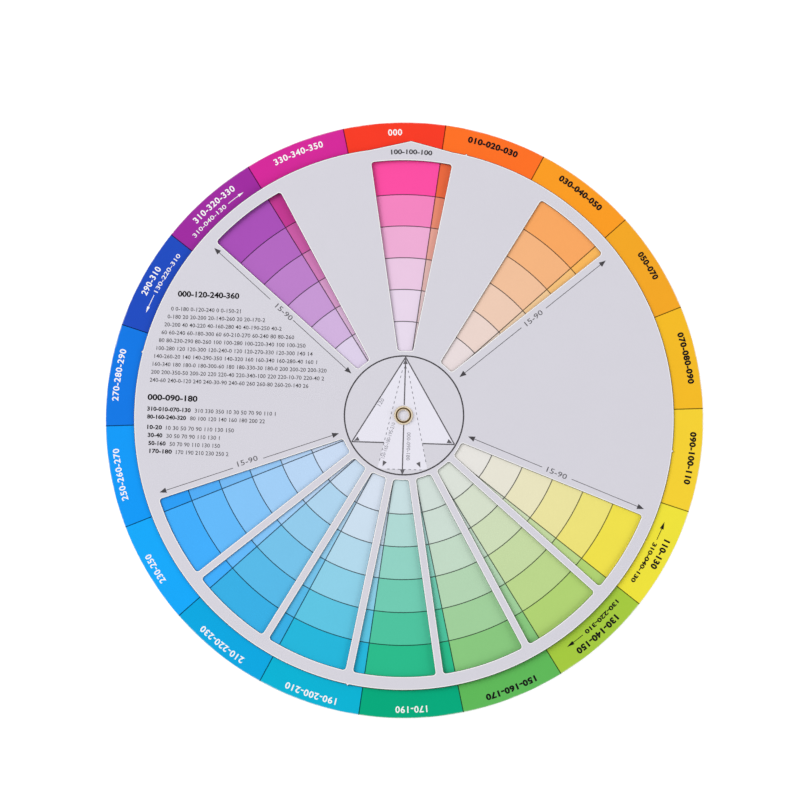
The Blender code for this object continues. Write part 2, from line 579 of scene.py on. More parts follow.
@dataclass(frozen=True)
class Face:
    """One printed face of a card."""

    seat: Seat
    side: Side
    level: float  # the face's height in the row frame
    turn: float  # how far the print is turned, clockwise for who looks at it
    shift: Point = (0.0, 0.0)  # how far the print lies off the card's middle, in the row frame
    bow: Bow | None = None

    def matrix(self) -> Matrix:
        """Gives the way from the face's own frame to the row frame.

        Returns:
            The matrix, which also turns millimetres into metres.
        """
        flip = Matrix.Rotation(math.pi if self.side is Side.REAR else 0.0, 4, "Y")
        turn = Matrix.Rotation(-math.radians(self.turn), 4, "Z")
        return Matrix.Scale(MM, 4) @ Matrix.Translation((*self.shift, self.level)) @ flip @ turn

    def lay(self, name: str, shape: Shape, look: Look) -> None:
        """Lays a printed shape on the face.

        Args:
            name: the piece's name, to which the side is added.
            shape: the shape in the face's frame, which is used up.
            look: its finish.
        """
        bmesh.ops.remove_doubles(shape, verts=list(shape.verts), dist=WELD)
        if self.bow:
            self.bow.bend(shape)
        bmesh.ops.transform(shape, matrix=self.matrix(), verts=list(shape.verts))
        self.seat.take(f"{self.side.value}_{name}", shape, look)


@dataclass(frozen=True)
class Numerals:
    """A size and cut of numerals."""

    cap: float  # how tall they are
    weight: Weight = Weight.REGULAR
    tracking: float = 1.0  # the room that each takes, as a share of its natural room
    chords: int = 2  # how finely their curves are drawn

    def natural(self, words: str) -> float:
        """Works out how wide a line is when it isn't stretched."""
        rooms = sum(SIGN_ROOMS.get(figure, FIGURE_ROOM) for figure in words)
        return rooms * self.tracking * self.cap / CAP_SHARE


@dataclass
class InkLayer:
    """Bars, heads, rings and numerals of one ink, each a thin slab that stands on a card's face."""

    film: Film = Film.LINES
    root: float = 0.005  # how far the slabs reach into the face
    raised: float = 0.004  # how much thicker heads and numerals are
    longest: float = 4.0  # the longest straight piece of a bar, so that it bends with its card
    shape: Shape = field(default_factory=bmesh.new)

    def _slab(self, middle: Vector, way: float, length: float, width: float, lift: float) -> Matrix:
        """Gives the way from a unit solid to a slab.

        Args:
            middle: the slab's middle on the face.
            way: where its length points, in radians counter-clockwise from +X.
            length: its length.
            width: its width.
            lift: how much thicker it is than the film.

        Returns:
            The matrix.
        """
        top = self.film.value + lift
        place = Matrix.Translation((middle.x, middle.y, (top - self.root) / 2))
        size = Matrix.Diagonal((length, width, top + self.root, 1.0))
        return place @ Matrix.Rotation(way, 4, "Z") @ size

    def bar(self, start: Point, end: Point, width: float, lift: float = 0.0) -> None:
        """Adds a straight line.

        Args:
            start: where it starts.
            end: where it ends.
            width: how wide it is.
            lift: how much thicker it is than the film.
        """
        run = Vector(end) - Vector(start)
        middle = (Vector(start) + Vector(end)) / 2
        slab = self._slab(middle, math.atan2(run.y, run.x), run.length, width, lift)
        box = bmesh.ops.create_cube(self.shape, size=1.0, matrix=slab)["verts"]
        cuts = int(run.length / self.longest)
        if cuts:
            edges = (edge for vert in box for edge in vert.link_edges)
            long = dict.fromkeys(edge for edge in edges if edge.calc_length() > self.longest)
            bmesh.ops.subdivide_edges(self.shape, edges=list(long), cuts=cuts)

    def head(self, tip: Point, heading: Point, length: float, width: float) -> None:
        """Adds a solid arrowhead.

        Args:
            tip: its point.
            heading: the way that it points.
            length: its length.
            width: how wide its foot is.
        """
        ahead = Vector(heading).normalized()
        middle = Vector(tip) - ahead * length * 2 / 3
        way = math.atan2(ahead.y, ahead.x) - math.pi / 2
        slab = self._slab(middle, way, width / math.sqrt(3), length / 1.5, self.raised)
        bmesh.ops.create_cone(
            self.shape, cap_ends=True, segments=3, radius1=1.0, radius2=1.0, depth=1.0, matrix=slab
        )

    def ring(self, radius: float, width: float, lift: float = 0.0, steps: int = 240) -> None:
        """Adds a circle about the eyelet.

        Args:
            radius: the middle of its line.
            width: how wide the line is.
            lift: how much thicker it is than the film.
            steps: how many chords it has.
        """
        near, far = radius - width / 2, radius + width / 2
        top = self.film.value + lift
        section = [(near, -self.root), (far, -self.root), (far, top), (near, top)]
        self._join(spun(section, steps))

    def area(self, outline: Sequence[Point]) -> None:
        """Adds a filled area.

        Args:
            outline: its corners in order.
        """
        sheet = bmesh.new()
        sheet.faces.new([sheet.verts.new((x, y, -self.root)) for x, y in outline])
        thicken(sheet, self.film.value + self.root)
        self._join(sheet)

    def figures(
        self, words: str, cut: Numerals, place: Placing, width: float | None = None, gain: float = 0.0
    ) -> None:
        """Adds a line of numerals.

        Args:
            words: what it says.
            cut: the numerals' size and cut.
            place: takes a point of the line, centred on its baseline, to its place on the face.
            width: how wide the line is, if not its natural width.
            gain: how much its strokes spread in print, at a type size of one; less than 0 if they fill in.
        """
        curve = bpy.data.curves.new("figures", "FONT")
        curve.body = words
        curve.resolution_u = cut.chords
        curve.offset = cut.weight.value + gain
        curve.space_character = cut.tracking
        curve.extrude = 0.5
        text = placed("figures", curve)
        evaluated = text.evaluated_get(bpy.context.evaluated_depsgraph_get())
        mesh = bpy.data.meshes.new_from_object(evaluated)
        bpy.data.objects.remove(text)
        bpy.data.curves.remove(curve)
        line = bmesh.new()
        line.from_mesh(mesh)
        bpy.data.meshes.remove(mesh)
        bmesh.ops.remove_doubles(line, verts=list(line.verts), dist=TYPE_WELD)
        across = [v.co.x for v in line.verts]
        up = [v.co.y for v in line.verts]
        tall = cut.cap / (max(up) - min(up))
        wide = width / (max(across) - min(across)) if width else tall
        for vert in line.verts:
            x = (vert.co.x - (max(across) + min(across)) / 2) * wide
            y = (vert.co.y - min(up)) * tall
            z = self.film.value + self.raised if vert.co.z > 0 else -self.root
            vert.co = place(Vector((x, y, z)))
        self._join(line)

    def _join(self, other: Shape) -> None:
        """Takes another shape into this one.

        Args:
            other: the shape, which is used up.
        """
        mesh = meshed("joined", other)
        self.shape.from_mesh(mesh)
        bpy.data.meshes.remove(mesh)


def straight(middle: Point, slope: float) -> Placing:
    """Gives a place for a straight line of numerals, turned counter-clockwise by its slope."""
    way = Matrix.Translation((*middle, 0.0)) @ Matrix.Rotation(math.radians(slope), 4, "Z")
    return lambda point: way @ point


def round_ring(angle: float, radius: float) -> Placing:
    """Gives a place for numerals that follow the rim, with their tops outwards."""
    return lambda point: Vector((*at(angle + math.degrees(point.x / radius), radius + point.y), point.z))


def at(angle: float, radius: float) -> Point:
    """Gives the point at an angle and radius."""
    return arc(radius, angle, angle, 1)[0]


# The base disc


@dataclass(frozen=True)
class Hue:
    """One printed hue."""

    ink: Colour  # the full ink, as it is seen
    label_dark: bool = False  # whether its label is black instead of white
    tint: Colour | None = None  # its last tint, if that isn't its own ink thinned
    curve: float = 1.2  # above 1, its first tints are paler than even steps would be
    least: float = 0.15  # the share of the last tint in the first one


HUES = (
    Hue((248, 60, 38), tint=(252, 78, 164), curve=2.2, least=0.07),  # red, whose tints lean to rose
    Hue((254, 113, 37), True, (236, 106, 64), 1.7, 0.15),
    Hue((251, 157, 35), True, (249, 168, 98), 1.25),
    Hue((244, 168, 37), True, (250, 184, 92)),
    Hue((245, 188, 38), True),
    Hue((246, 210, 52), True, (239, 212, 74)),
    Hue((240, 228, 60), True, (241, 226, 76), 1.65, 0.11),  # yellow
    Hue((166, 203, 64), True, (178, 212, 116), 1.26, 0.2),
    Hue((96, 186, 90), True, (138, 201, 128), 1.7, 0.22),
    Hue((0, 171, 125), tint=(42, 188, 140), curve=1.15, least=0.16),  # green
    Hue((6, 180, 214), tint=(36, 183, 220), curve=1.75, least=0.08),
    Hue((8, 168, 226), tint=(56, 176, 230), curve=1.07, least=0.17),
    Hue((20, 169, 251), tint=(65, 174, 252), curve=1.3, least=0.17),  # blue
    Hue((16, 154, 248), tint=(44, 158, 246)),
    Hue((17, 120, 229)),
    Hue((33, 76, 192)),  # violet
    Hue((159, 44, 160), tint=(169, 80, 184), curve=0.9, least=0.14),
    Hue((213, 41, 154), tint=(195, 58, 146)),
)
NOTES = {  # what the note under a hue's label says, and which way its arrow points
    6: ("310-040-130", -1),
    7: ("130-220-310", 1),
    15: ("130-220-310", -1),
    16: ("310-040-130", 1),
}


@dataclass(frozen=True)
class BasePrint:
    """The print on one face of the disc: hue columns, line work and numerals."""

    face: Face
    other: Colour  # what the hues are mixed with in their columns, as it is seen
    edge: float  # how far the print reaches from the disc's middle
    label_shift: Point = (0.0, 0.0)  # how far the numerals' plate lies off the disc's middle
    bands: tuple[float, ...] = (24.6, 38.0, 50.75, 63.45, 76.2, 88.85, 103.5)
    steps: int = 360
    line_width: float = 0.38
    line_light: float = 0.17  # the share of the hues' light that the overprinted lines leave
    spoke_lift: float = 0.005  # how much thicker the lines between the sectors are
    shade_share: float = 0.86  # the share of black in the first field of a shade column
    tint_share: float = 0.8  # the share of its own ink in a hue's last tint
    label: Numerals = Numerals(2.6, Weight.BOLD, 1.1, 4)
    label_radius: float = 112.5
    pure_width: float = 12.2
    mixed_width: float = 20.5
    ink_gain: Pair = (-0.01, 0.02)  # how far the strokes of white and of black numerals spread
    note: Numerals = Numerals(1.75, Weight.MEDIUM, 1.0, 3)
    note_radius: float = 109.1
    note_width: float = 17.5
    note_shift: float = 3.0  # how far a note lies off its sector's middle
    note_arrow: tuple[float, float, float] = (2.3, 5.7, 6.3)  # where its line starts and ends, and its tip
    note_line: float = 0.27
    note_heads: tuple[Pair, Pair] = ((2.5, 1.15), (3.0, 1.5))  # of white and of black notes

    def hues(self) -> None:
        """Prints the hue columns and the full hues of the rim."""
        shape = spun([(radius, 0.0) for radius in (*self.bands, self.edge)], self.steps, closed=False)
        thicken(shape, Film.HUES.value)
        for vert in shape.verts:
            if vert.co.xy.length > self.bands[-1] + WELD:
                angle = math.degrees(math.atan2(vert.co.x, vert.co.y))
                vert.co.xy = at(angle, self._reach(angle))
        paint(shape, self._ink)
        self.face.lay("hue_columns", shape, Look.HUE_INKS)

    def lines(self) -> None:
        """Prints the lines between the fields."""
        ink = InkLayer(Film.BANDS)
        for radius in self.bands[1:-1]:
            ink.ring(radius, self.line_width, steps=self.steps)
        for sector in range(SECTORS):
            angle = (sector + 0.5) * PITCH
            ends = at(angle, self.bands[0]), at(angle, self._reach(angle))
            ink.bar(*ends, self.line_width, self.spoke_lift)
        paint(ink.shape, self._line_ink)
        self.face.lay("field_lines", ink.shape, Look.OVERPRINTED_BLACK)

    def labels(self) -> None:
        """Prints the hue angles round the rim, and notes under some of them."""
        white, black = InkLayer(Film.RIM), InkLayer(Film.RIM)
        half = round(PITCH / 2)
        for sector, hue in enumerate(HUES):
            ink = black if hue.label_dark else white
            angle = round(sector * PITCH)
            spread, width = (-half, 0, half), self.mixed_width
            if sector == 0:  # the hue that the angles are counted from
                spread, width = (0,), None
            elif sector % 3 == 0:
                spread, width = (-half, half), self.pure_width
            words = "-".join(f"{(angle + turn) % 360:03d}" for turn in spread)
            place = round_ring(angle, self.label_radius)
            ink.figures(words, self.label, place, width, self.ink_gain[hue.label_dark])
            if sector in NOTES:
                self._note(ink, angle, hue.label_dark, *NOTES[sector])
        plate = replace(self.face, shift=self.label_shift)
        plate.lay("rim_numerals_white", white.shape, Look.KNOCKED_OUT_WHITE)
        plate.lay("rim_numerals_black", black.shape, Look.BLACK_INK)

    def _reach(self, angle: float) -> float:
        """Works out how far the print can reach where it lies off the disc's middle.

        Args:
            angle: the way from the print's middle.

        Returns:
            The radius of its edge, from its own middle.
        """
        middle = (self.face.matrix().inverted() @ Vector((0.0, 0.0, self.face.level * MM))).xy
        spoke = Vector(at(angle, 1.0))
        return middle.dot(spoke) + math.sqrt(self.edge**2 - middle.cross(spoke) ** 2)

    def _ink(self, angle: float, radius: float) -> Colour:
        """Works out the colour of the print at one place.

        Args:
            angle: the place's angle.
            radius: the place's radius.

        Returns:
            The linear colour.
        """
        hue = HUES[round(angle / PITCH) % SECTORS]
        fields = len(self.bands) - 1
        step = sum(radius > edge for edge in self.bands[1:]) + 1
        if step > fields:
            return linear(hue.ink)
        if self.face.side is Side.REAR:
            ink, share = hue.ink, 1 - self.shade_share * (fields + 1 - step) / fields
        else:
            ink = hue.tint or hue.ink
            share = hue.least + (1 - hue.least) * ((step - 1) / (fields - 1)) ** hue.curve
            share *= 1.0 if hue.tint else self.tint_share
        return linear([o + share * (i - o) for o, i in zip(self.other, ink)])

    def _line_ink(self, angle: float, radius: float) -> Colour:
        """Works out the colour of a line that is printed over the hues on both sides of it."""
        sides = zip(*(self._ink((angle + turn) % 360, radius) for turn in (-1, 1)))
        return tuple(self.line_light * sum(pair) / 2 for pair in sides)

    def _note(self, ink: InkLayer, angle: float, dark: bool, words: str, way: int) -> None:
        """Prints a note with its arrow.

        Args:
            ink: the ink that it is printed in.
            angle: the middle of its sector.
            dark: whether it is black instead of white.
            words: what it says.
            way: 1 for an arrow that points clockwise, or -1.
        """
        place = round_ring(angle - way * self.note_shift, self.note_radius)
        ink.figures(words, self.note, place, self.note_width, self.ink_gain[dark])
        radius = self.note_radius + self.note.cap / 2
        start, end, tip = (angle + way * turn for turn in self.note_arrow)
        for here, following in pairwise(arc(radius, start, end, 4)):
            ink.bar(here, following, self.note_line)
        heading = Vector(at(tip, radius)) - Vector(at(end, radius))
        ink.head(at(tip, radius), heading, *self.note_heads[dark])


@dataclass
class BaseDisc:
    """The disc that both dials turn on, printed on both faces."""

    radius: float = 117.5
    hole: float = 2.7
    rim_break: float = 0.06
    steps: int = 360
    print_margin: float = 0.1
    front_turn: float = -1.6
    rear_turn: float = 1.7
    front_shift: Point = (-0.33, -0.71)  # the front is printed a little off the disc's middle
    label_shift: Point = (-0.16, -0.35)  # and the plate of its numerals less
    paper: Colour = (231, 230, 243)
    shade: Colour = (46, 43, 46)

    def build(self) -> None:
        """Makes every piece of the disc."""
        low, high = (corner.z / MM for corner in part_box("base_disc"))
        section = [(self.hole, low), (self.radius, low), (self.radius, high), (self.hole, high)]
        shape = spun(section, self.steps)
        break_rims(shape, self.rim_break)
        bmesh.ops.scale(shape, vec=(MM, MM, MM), verts=list(shape.verts))
        Seat(Body.BASE, Slot.BASE, "base_disc").take("base_card", shape, Look.CUT_BOARD)

        seat, edge = Seat(Body.BASE, Slot.BASE), self.radius - self.print_margin
        front = Face(seat, Side.FRONT, high, self.front_turn, self.front_shift)
        rear = Face(seat, Side.REAR, low, self.rear_turn)
        prints = BasePrint(front, self.paper, edge, self.label_shift), BasePrint(rear, self.shade, edge)
        for part in prints:
            part.hues()
            part.lines()
        for part in prints:
            part.labels()


# The dials


@dataclass(frozen=True)
class DialCut:
    """The die that cuts both dials."""

    radius: float = 106.3
    window_outer: float = 101.5
    window_inner: float = 25.35
    window_turn: float = 0.25  # how far the windows lie clockwise from the pointer
    strut: float = 2.85
    window_corner: float = 1.2
    pointer_reach: float = 2.8
    pointer_width: float = 33.0
    nub_reach: float = 0.45
    nub_width: float = 0.9
    nub_top_share: float = 0.4
    nub_angles: tuple[float, ...] = (12.0, 96.0, 190.0, 282.0)
    hole: float = 2.7
    open_sectors: tuple[int, ...] = (0, 2, 6, 7, 8, 9, 10, 11, 12, 16)
    edge_steps: int = 360
    hole_steps: int = 64
    corner_steps: int = 6
    outer_steps: int = 24  # in a window's outer arc
    inner_steps: int = 8
    margin: float = 0.27  # the white that the print leaves along every cut
    flare: float = 0.16  # how far the foot of a window's side stands out, baring the dark core as a thin line of painted shade
    edge_flare: float = 0.3  # and of the outer edge, whose line of painted shade is wider
    grain: Pair = (0.9961, 1.0022)  # how damp has changed the card across and along its grain
    upright: float = 0.6  # a face is part of a cut side when its normal rises less than this
    rim_break: float = 0.045

    def _corner(self, radius: float, bend: int) -> tuple[list[Point], float]:
        """Gives one round corner of a window on the clockwise side of a sector centred on +Y.

        Args:
            radius: the radius of the window's arc that it meets.
            bend: 1 at the outer arc, or -1 at the inner arc.

        Returns:
            Its points, and the angle at which the arc starts.
        """
        edge = PITCH / 2
        inset = self.strut / 2 + self.window_corner
        reach = radius - bend * self.window_corner
        across = edge - math.degrees(math.asin(inset / reach))
        start = across if bend > 0 else edge + 90
        end = edge + 90 if bend > 0 else across + 180
        return arc(self.window_corner, start, end, self.corner_steps, at(across, reach)), across

    def window(self, sector: int) -> list[Point]:
        """Gives the outline of one window.

        Args:
            sector: the sector that it opens, clockwise from the pointer.

        Returns:
            Its points.
        """
        outer_corner, outer_reach = self._corner(self.window_outer, 1)
        inner_corner, inner_reach = self._corner(self.window_inner, -1)
        side = outer_corner + inner_corner
        other_side = [(-x, y) for x, y in reversed(side)]
        outer = arc(self.window_outer, -outer_reach, outer_reach, self.outer_steps)[1:-1]
        inner = arc(self.window_inner, inner_reach, -inner_reach, self.inner_steps)[1:-1]
        return turned(side + inner + other_side + outer, sector * PITCH + self.window_turn)

    def edge(self) -> list[Point]:
        """Gives the outer edge: a straight-sided pointer, then the circle with its torn nubs.

        Returns:
            Its points.
        """
        shoulder = math.degrees(math.asin(self.pointer_width / 2 / self.radius))
        foot = math.degrees(self.nub_width / 2 / self.radius)
        points = [(0.0, self.radius + self.pointer_reach)]
        start = shoulder
        for angle in self.nub_angles:
            steps = max(1, round(self.edge_steps * (angle - foot - start) / 360))
            points += arc(self.radius, start, angle - foot, steps)
            top = foot * self.nub_top_share
            points += arc(self.radius + self.nub_reach, angle - top, angle + top, 1)
            start = angle + foot
        steps = round(self.edge_steps * (360 - shoulder - start) / 360)
        return points + arc(self.radius, start, 360 - shoulder, steps)

    def blank(self, thickness: float) -> Shape:
        """Cuts a dial.

        Args:
            thickness: how thick its card is.

        Returns:
            The dial, whose faces are numbered 0 for bare board, 1 for print and 2 for the dark core, which
            also paints the shade along the cuts.
        """
        hole = arc(self.hole, 0, 360, self.hole_steps)[:-1]
        shape = bmesh.new()
        for points in (self.edge(), hole, *map(self.window, self.open_sectors)):
            rim = [shape.verts.new((x, y, 0.0)) for x, y in points]
            for pair in pairwise(rim + rim[:1]):
                shape.edges.new(pair)
        bmesh.ops.triangle_fill(shape, use_beauty=True, edges=list(shape.edges), normal=(0, 0, 1))
        margin = bmesh.ops.inset_region(
            shape, faces=list(shape.faces), thickness=self.margin, use_boundary=True, use_even_offset=True
        )["faces"]
        for patch in shape.faces:
            patch.material_index = 1
        for patch in margin:
            patch.material_index = 0
        thicken(shape, thickness)
        bmesh.ops.scale(shape, vec=(*self.grain, 1.0), verts=list(shape.verts))
        bmesh.ops.recalc_face_normals(shape, faces=list(shape.faces))
        self._flare(shape)
        break_rims(shape, self.rim_break)
        shape.normal_update()
        # cut sides take the dark core, which paints the shade along the cuts
        for patch in shape.faces:
            if abs(patch.normal.z) < self.upright:
                patch.material_index = 2
            elif abs(patch.normal.z) < (1 + self.upright) / 2:
                patch.material_index = 0
        return shape

    def _flare(self, shape: Shape) -> None:
        """Pushes the foot of every cut side outwards, as the shoulder of a die does, so that its dark core
        shows from above as a thin line of painted shade.

        Args:
            shape: the dial, with its foot at height 0.
        """
        for vert in shape.verts:
            sides = [patch.normal for patch in vert.link_faces if abs(patch.normal.z) < self.upright]
            if sides and vert.co.z < WELD:
                outer = vert.co.xy.length > (self.window_outer + self.radius) / 2
                flare = self.edge_flare if outer else self.flare
                vert.co += sum(sides, Vector()).normalized() * flare


@dataclass
class NumberKey:
    """The block of small numerals on the dial's left: two headings with ragged lines under them."""

    face: Face
    slope: float = -0.7  # the block is set a little askew
    margin_radius: float = 101.2  # its lines start on this circle
    text: Numerals = Numerals(1.6)
    lead: Numerals = Numerals(1.75, Weight.BOLD)
    heading: Numerals = Numerals(2.45, Weight.BOLD, 1.0, 3)
    headings: tuple[tuple[str, float, float, float], ...] = (  # words, left end, baseline and width
        ("000-120-240-360", -91.5, 43.4, 24.4),
        ("000-090-180", -101.25, 1.9, 19.7),
    )
    first_top: float = 37.75
    first_pitch: float = 3.175
    widths: tuple[float, ...] = (27.7, 38.7, 46.5, 52.6, 58.1, 61.8, 64.3, 68.8, 68.4, 62.7)
    second_top: float = -2.35
    second_pitches: tuple[float, ...] = (0.0, 3.1, 4.1, 3.15, 3.15, 3.1)
    leads: tuple[tuple[str, float, float], ...] = (  # words, their width and the width of the rest
        ("310-010-070-130", 17.2, 31.9),
        ("80-160-240-320", 15.4, 29.5),
        ("10-20", 5.8, 26.8),
        ("30-40", 5.8, 21.0),
        ("50-160", 6.8, 19.8),
        ("170-180", 8.9, 20.7),
    )
    gap: float = 1.6
    balances: tuple[tuple[int, ...], ...] = ((0,), (0, 180), (0, 120, 240), (0,), (0, 150, 210), (0, 180))

    def build(self) -> None:
        """Prints the block."""
        black, grey = InkLayer(), InkLayer()
        for words, left, base, width in self.headings:
            self._line(black, words, self.heading, (left, base), width)
        numbers = self._balances()
        for row, width in enumerate(self.widths):
            base = self.first_top - row * self.first_pitch
            words = self._filled(numbers, width)
            self._line(grey, words, self.text, (self._margin(base), base), width)
        base = self.second_top
        for pitch, (lead, lead_width, width) in zip(self.second_pitches, self.leads):
            base -= pitch
            left = self._margin(base)
            self._line(black, lead, self.lead, (left, base), lead_width)
            words = self._filled(self._in_order(int(lead.split("-")[0])), width)
            self._line(grey, words, self.text, (left + lead_width + self.gap, base), width)
        self.face.lay("key_headings", black.shape, Look.BLACK_INK)
        self.face.lay("key_numerals", grey.shape, Look.DARK_GREY_INK)

    def _margin(self, base: float) -> float:
        """Gives where a line starts that stands at this height."""
        return -math.sqrt(self.margin_radius**2 - base**2)

    def _line(self, ink: InkLayer, words: str, cut: Numerals, start: Point, width: float) -> None:
        """Prints a stretch of a line from where it starts before the block is turned."""
        middle = turned([(start[0] + width / 2, start[1])], -self.slope)[0]
        ink.figures(words, cut, straight(middle, self.slope), width)

    def _filled(self, numbers: Iterator[str], width: float) -> str:
        """Sets numbers in a line until it is full.

        Args:
            numbers: where the numbers come from.
            width: how wide the line is.

        Returns:
            What the line says.
        """
        words = next(numbers)
        while self.text.natural(words) < width:
            words += " " + next(numbers)
        while self.text.natural(words) > width + self.text.cap / 2:
            words = words[:-1]
        return words.rstrip(" -")

    def _balances(self) -> Iterator[str]:
        """Gives the hue angles of single hues, pairs, triads and fours that balance, without end.

        Yields:
            The angles of one hue or one group.
        """
        for start in count(0, round(PITCH)):
            for spread in self.balances:
                yield "-".join(str((start + turn) % 360) for turn in spread)

    @staticmethod
    def _in_order(start: int) -> Iterator[str]:
        """Gives the hue angles in order from one of them, without end."""
        return (str(angle % 360) for angle in count(start, round(PITCH)))


@dataclass(frozen=True)
class Arrow:
    """A double-ended arrow beside an outer window, broken for its numerals."""

    near: float  # the angle of its inner end
    far: float  # the angle of its outer end
    along: float = 0.0  # how far its numerals lie outwards from the middle of the gap
    lift: float = 0.0  # how far its numerals lie above the line


@dataclass(frozen=True)
class DialPrint:
    """The print on a dial: the figure about the eyelet, and the arrows with their captions."""

    face: Face
    circle: float = 23.4
    circle_line: float = 0.55
    figure_reach: float = 22.9
    side_line: float = 0.48
    corner: float = 118.6  # the angle of the triangle's right corner
    spread: float = 25.0  # half the angle between the feet of the dashed figure
    foot_line: Pair = (7.6, -21.3)  # half its length, and its height
    dash: float = 1.0
    dash_gap: float = 1.1
    dash_line: float = 0.3
    dash_start: float = 0.12  # the share of the dashed lines that is left out at the top
    heads: tuple[tuple[float, ...], ...] = (  # angle and radius of the tip, heading, length and width
        (0.0, 22.2, 0.0, 2.0, 1.9),
        (0.0, 19.7, 0.0, 1.2, 1.3),
        (180.0, 23.5, 180.0, 2.2, 1.9),
        (118.6, 22.0, 114.0, 2.1, 1.7),
        (241.2, 22.1, 243.0, 2.1, 1.7),
        (161.0, 21.6, 155.0, 2.2, 1.7),
        (201.0, 21.8, 203.0, 2.2, 1.7),
    )
    remarks: tuple[tuple[str, Point, float, float], ...] = (  # words, baseline's middle, slope and width
        ("120", (-8.6, 4.5), 58.5, 3.1),
        ("150-165-180-195-210", (-5.2, -10.3), 74.0, 14.6),
        ("000-090-180", (1.35, -12.2), -90.0, 11.0),
    )
    arrow_near: float = 26.5
    arrow_far: float = 100.5
    arrow_gap: Pair = (57.8, 70.2)
    arrow_line: float = 0.26
    arrow_head: Pair = (2.7, 2.1)
    arrow_inset: float = 2.0  # how far behind a head's point its line ends
    arrows: tuple[Arrow, ...] = (
        Arrow(53.8, 50.8), Arrow(106.8, 109.8), Arrow(252.8, 250.8, 0.0, 0.9), Arrow(306.8, 309.8, -1.4)
    )
    axis_ends: tuple[Pair, ...] = ((23.4, 4.0), (-3.9, -23.4))  # of the line through the eyelet
    axis_lift: float = 0.002
    small: Numerals = Numerals(1.5)
    caption: Numerals = Numerals(2.1)
    caption_width: float = 8.3
    pointer_words: Numerals = Numerals(2.0, Weight.BOLD, 1.0, 3)
    pointer_place: Pair = (104.1, 16.3)  # the radius of their baseline, and their width

    def figure(self) -> None:
        """Prints the figure about the eyelet that points out the hues that balance."""
        reach, (foot_half, foot_height) = self.figure_reach, self.foot_line
        apex, right, left = at(0, reach), at(self.corner, reach), at(-self.corner, reach)
        right_foot, left_foot = at(180 - self.spread, reach), at(180 + self.spread, reach)
        share = (apex[1] - right[1]) / (apex[1] - right_foot[1])
        right_cross = (share * right_foot[0], right[1])
        left_cross = (share * left_foot[0], left[1])
        foot_ends = [(foot_half, foot_height), (-foot_half, foot_height)]
        pale = InkLayer(Film.FIELD)
        pale.area([apex, right, right_cross, right_foot, *foot_ends, left_foot, left_cross, left])
        self.face.lay("centre_field", pale.shape, Look.PALE_FIELD_PRINT)

        circle = InkLayer(Film.CIRCLE)
        circle.ring(self.circle, self.circle_line)
        self.face.lay("centre_circle", circle.shape, Look.DARK_GREY_INK)

        lines = InkLayer()
        for start, end in ((apex, right), (right, right_cross), (apex, left), (left, left_cross)):
            lines.bar(start, end, self.side_line)
        for start, end in self.axis_ends:
            lines.bar((0, start), (0, end), self.side_line, self.axis_lift)
        for angle, radius, heading, length, width in self.heads:
            lines.head(at(angle, radius), at(heading, 1.0), length, width)
        self.face.lay("centre_lines", lines.shape, Look.SOFT_GREY_INK)

        faint = InkLayer(Film.DASHES)
        for foot in (right_foot, left_foot):
            self._dashes(faint, Vector(apex).lerp(Vector(foot), self.dash_start), foot)
        self._dashes(faint, *foot_ends)
        for words, middle, slope, width in self.remarks:
            faint.figures(words, self.small, straight(middle, slope), width)
        self.face.lay("centre_dashes", faint.shape, Look.FAINT_GREY_INK)

    def _dashes(self, ink: InkLayer, start: Point, end: Point) -> None:
        """Prints a dashed line.

        Args:
            ink: the ink that it is printed in.
            start: where it starts.
            end: where it ends.
        """
        run = Vector(end) - Vector(start)
        ahead = run.normalized()
        pitch = self.dash + self.dash_gap
        for place in range(int(run.length / pitch)):
            near = Vector(start) + ahead * (place * pitch)
            ink.bar(near, near + ahead * self.dash, self.dash_line)

    def arrows_and_captions(self) -> None:
        """Prints the four double-ended arrows beside the outer windows, and all captions."""
        lines, heads, captions = InkLayer(Film.ARROWS), InkLayer(), InkLayer()
        for arrow in self.arrows:
            near, far = Vector(at(arrow.near, self.arrow_near)), Vector(at(arrow.far, self.arrow_far))
            ahead = (far - near).normalized()
            gap_near, gap_far = (near + ahead * (reach - self.arrow_near) for reach in self.arrow_gap)
            inset = ahead * self.arrow_inset
            for start, end in ((near + inset, gap_near), (gap_far, far - inset)):
                lines.bar(start, end, self.arrow_line)
            for tip, way in ((near, -ahead), (far, ahead)):
                heads.head(tip, way, *self.arrow_head)
            slope = math.degrees(math.atan2(ahead.y, ahead.x))
            slope = slope if abs(slope) <= 90 else slope - math.copysign(180, slope)
            up = Vector((-math.sin(math.radians(slope)), math.cos(math.radians(slope))))
            middle = (gap_near + gap_far) / 2 + ahead * arrow.along
            place = straight(middle + up * (arrow.lift - self.caption.cap / 2), slope)
            captions.figures("15-90", self.caption, place, self.caption_width)
        radius, width = self.pointer_place
        heads.figures("100-100-100", self.pointer_words, round_ring(0, radius), width)
        self.face.lay("arrow_lines", lines.shape, Look.SOFT_GREY_INK)
        self.face.lay("arrow_heads", heads.shape, Look.DARK_GREY_INK)
        self.face.lay("captions", captions.shape, Look.SOFT_GREY_INK)


